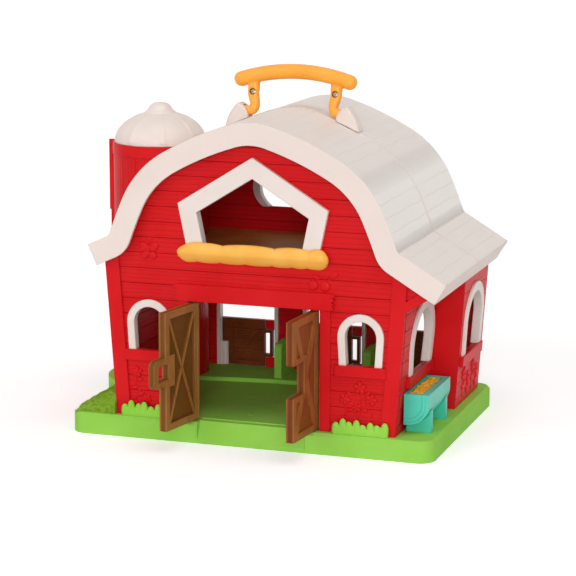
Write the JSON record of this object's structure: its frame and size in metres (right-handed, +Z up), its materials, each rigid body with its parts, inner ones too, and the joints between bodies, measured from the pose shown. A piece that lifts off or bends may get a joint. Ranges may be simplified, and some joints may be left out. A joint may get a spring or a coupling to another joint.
{
  "type": "toy barn with opening doors",
  "caption": "Plastic toy barn with a gambrel roof, a silo, hinged front doors with a loop latch, rear stall gates, a loft, a porch trough and a folding carrying handle.",
  "frame": {"origin": "on the floor under the barn, on the centre line of the gable and half-way between the base's front and rear edges; the underside of the base lies in Z = 0", "axes": "+X to the right as seen from the front, +Y from the front doors towards the stalls, +Z up; the doors face -Y"},
  "size_m": [0.315, 0.2433, 0.2735],
  "materials": {
    "green_base": "moulded plastic, soft sheen, fine grass texture on the raised parts",
    "red_wall": "moulded plastic, soft gloss, plank joints",
    "cream_roof": "moulded plastic, satin",
    "white_trim": "moulded plastic, soft gloss",
    "brown_wood": "moulded plastic with planks",
    "red_silo": "moulded plastic, soft gloss, plank joints",
    "cream_dome": "moulded plastic, satin",
    "hay": "moulded plastic, straw texture",
    "handle_orange": "moulded plastic, soft gloss",
    "screw_steel": "plated steel",
    "teal_trough": "moulded plastic, soft gloss",
    "feed_yellow": "moulded plastic, grain texture",
    "bush_green": "moulded plastic, leafy texture",
    "loft_brown": "moulded plastic, plank texture"
  },
  "bodies": {
    "barn": {"base": "green_base", "bush": "bush_green", "front_left_window_trim": "white_trim", "front_right_window_trim": "white_trim", "front_wall": "red_wall", "grass_left": "bush_green", "grass_right": "bush_green", "handle_ear_left": "cream_roof", "handle_ear_right": "cream_roof", "hay_sill": "hay", "left_wall": "red_wall", "loft_floor": "loft_brown", "loft_frame": "white_trim", "rear_loft_trim": "white_trim", "rear_right_wall": "red_wall", "rear_wall": "red_wall", "right_wall": "red_wall", "roof_front": "cream_roof", "roof_rear": "cream_roof", "side_front_window_trim": "white_trim", "side_rear_window_trim": "white_trim", "silo_dome": "cream_dome", "silo_front_shell": "red_silo", "silo_rear_shell": "red_silo", "stall_divider_a": "green_base", "stall_divider_b": "green_base", "stall_frame_a": "white_trim", "stall_frame_b": "white_trim", "stall_frame_c": "white_trim", "stall_keeper_a": "red_wall", "stall_keeper_b": "red_wall", "stall_keeper_c": "red_wall", "trough_feed": "feed_yellow", "trough_stand": "teal_trough", "trough_tub": "teal_trough"},
    "left_door": {"front_left_door": "brown_wood"},
    "right_door": {"front_right_door": "brown_wood"},
    "gate_a": {"stall_gate_a": "brown_wood"},
    "gate_b": {"stall_gate_b": "brown_wood"},
    "gate_c": {"stall_gate_c": "brown_wood"},
    "handle": {"handle_front_shell": "handle_orange", "handle_rear_shell": "handle_orange", "handle_screws": "screw_steel"}
  },
  "joints": [
    {"name": "left_door_hinge", "type": "hinge", "parent": "barn", "child": "left_door", "pos_m": [-0.0465, -0.0866, 0.06175], "axis": [0, 0, 1], "range_deg": [-15, 100]},
    {"name": "right_door_hinge", "type": "hinge", "parent": "barn", "child": "right_door", "pos_m": [0.0465, -0.0866, 0.06175], "axis": [0, 0, 1], "range_deg": [-85.5, 29.5]},
    {"name": "gate_a_hinge", "type": "hinge", "parent": "barn", "child": "gate_a", "pos_m": [-0.08255, 0.0765, 0.033], "axis": [0, 0, 1], "range_deg": [0, 100]},
    {"name": "gate_b_hinge", "type": "hinge", "parent": "barn", "child": "gate_b", "pos_m": [-0.00875, 0.0765, 0.033], "axis": [0, 0, 1], "range_deg": [0, 100]},
    {"name": "gate_c_hinge", "type": "hinge", "parent": "barn", "child": "gate_c", "pos_m": [0.06505, 0.0765, 0.033], "axis": [0, 0, 1], "range_deg": [0, 100]},
    {"name": "handle_hinge", "type": "hinge", "parent": "barn", "child": "handle", "pos_m": [0, 0.0045, 0.2376], "axis": [1, 0, 0], "range_deg": [-52, 72]}
  ]
}
